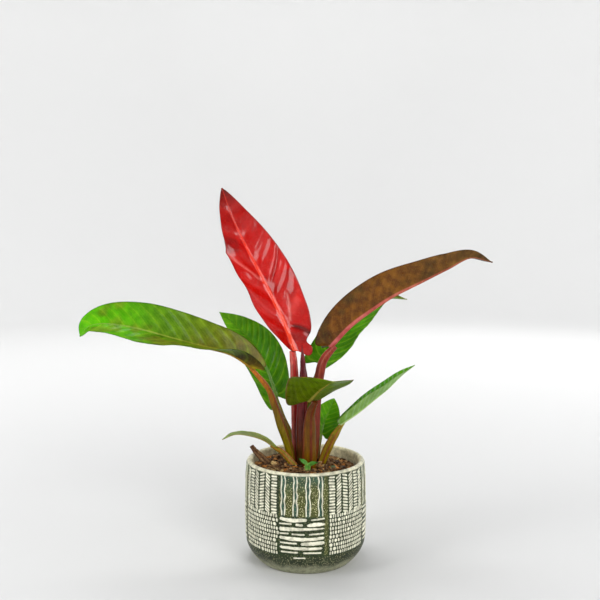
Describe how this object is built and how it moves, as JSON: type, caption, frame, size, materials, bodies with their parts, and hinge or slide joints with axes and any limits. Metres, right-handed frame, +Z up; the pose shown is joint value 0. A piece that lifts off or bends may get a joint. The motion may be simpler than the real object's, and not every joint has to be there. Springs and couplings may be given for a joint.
{
  "type": "potted philodendron",
  "caption": "Young philodendron with upright red and arching bronze and green leaves, rooted in bark soil in a round stoneware pot with a relief pattern.",
  "frame": {"origin": "centre of the pot's flat underside", "axes": "+Z up along the pot's axis, -Y towards the front of the plant, +X to the right"},
  "size_m": [0.4419, 0.1607, 0.4104],
  "materials": {
    "stoneware": "matte",
    "soil": "matte",
    "bark": "matte",
    "stem": "matte",
    "dried_stalk": "matte",
    "maroon_stalk": "satin",
    "young_green": "satin",
    "red_blade": "gloss",
    "bronze_blade": "satin",
    "green_blade": "satin",
    "red_stalk": "satin",
    "olive_stalk": "satin"
  },
  "bodies": {
    "root": {"back_left_leaf_blade": "green_blade", "back_left_leaf_stalk": "olive_stalk", "back_right_leaf_blade": "green_blade", "back_right_leaf_stalk": "olive_stalk", "bark_chip_01": "bark", "bark_chip_02": "bark", "bark_chip_03": "bark", "bark_chip_04": "bark", "bark_chip_05": "bark", "bark_chip_06": "bark", "bark_chip_07": "bark", "bark_chip_08": "bark", "bark_chip_09": "bark", "bark_chip_10": "bark", "bark_chip_11": "bark", "bark_chip_12": "bark", "bark_chip_13": "bark", "bark_chip_14": "bark", "bark_chip_15": "bark", "bark_chip_16": "bark", "bark_chip_17": "bark", "bark_chip_18": "bark", "bark_chip_19": "bark", "bark_chip_20": "bark", "bark_chip_21": "bark", "bark_chip_22": "bark", "bark_chip_23": "bark", "bark_chip_24": "bark", "bronze_leaf_blade": "bronze_blade", "bronze_leaf_stalk": "red_stalk", "dried_stalk": "dried_stalk", "front_leaf_blade": "green_blade", "front_leaf_stalk": "olive_stalk", "leaflet": "young_green", "left_leaf_blade": "green_blade", "left_leaf_stalk": "olive_stalk", "pot": "stoneware", "red_leaf_blade": "red_blade", "red_leaf_stalk": "red_stalk", "right_leaf_blade": "green_blade", "right_leaf_stalk": "olive_stalk", "rolled_leaf": "maroon_stalk", "small_back_leaf_blade": "green_blade", "small_back_leaf_stalk": "olive_stalk", "small_left_leaf_blade": "green_blade", "small_left_leaf_stalk": "olive_stalk", "soil": "soil", "sprout": "young_green", "stem_with_roots": "stem"}
  },
  "joints": []
}
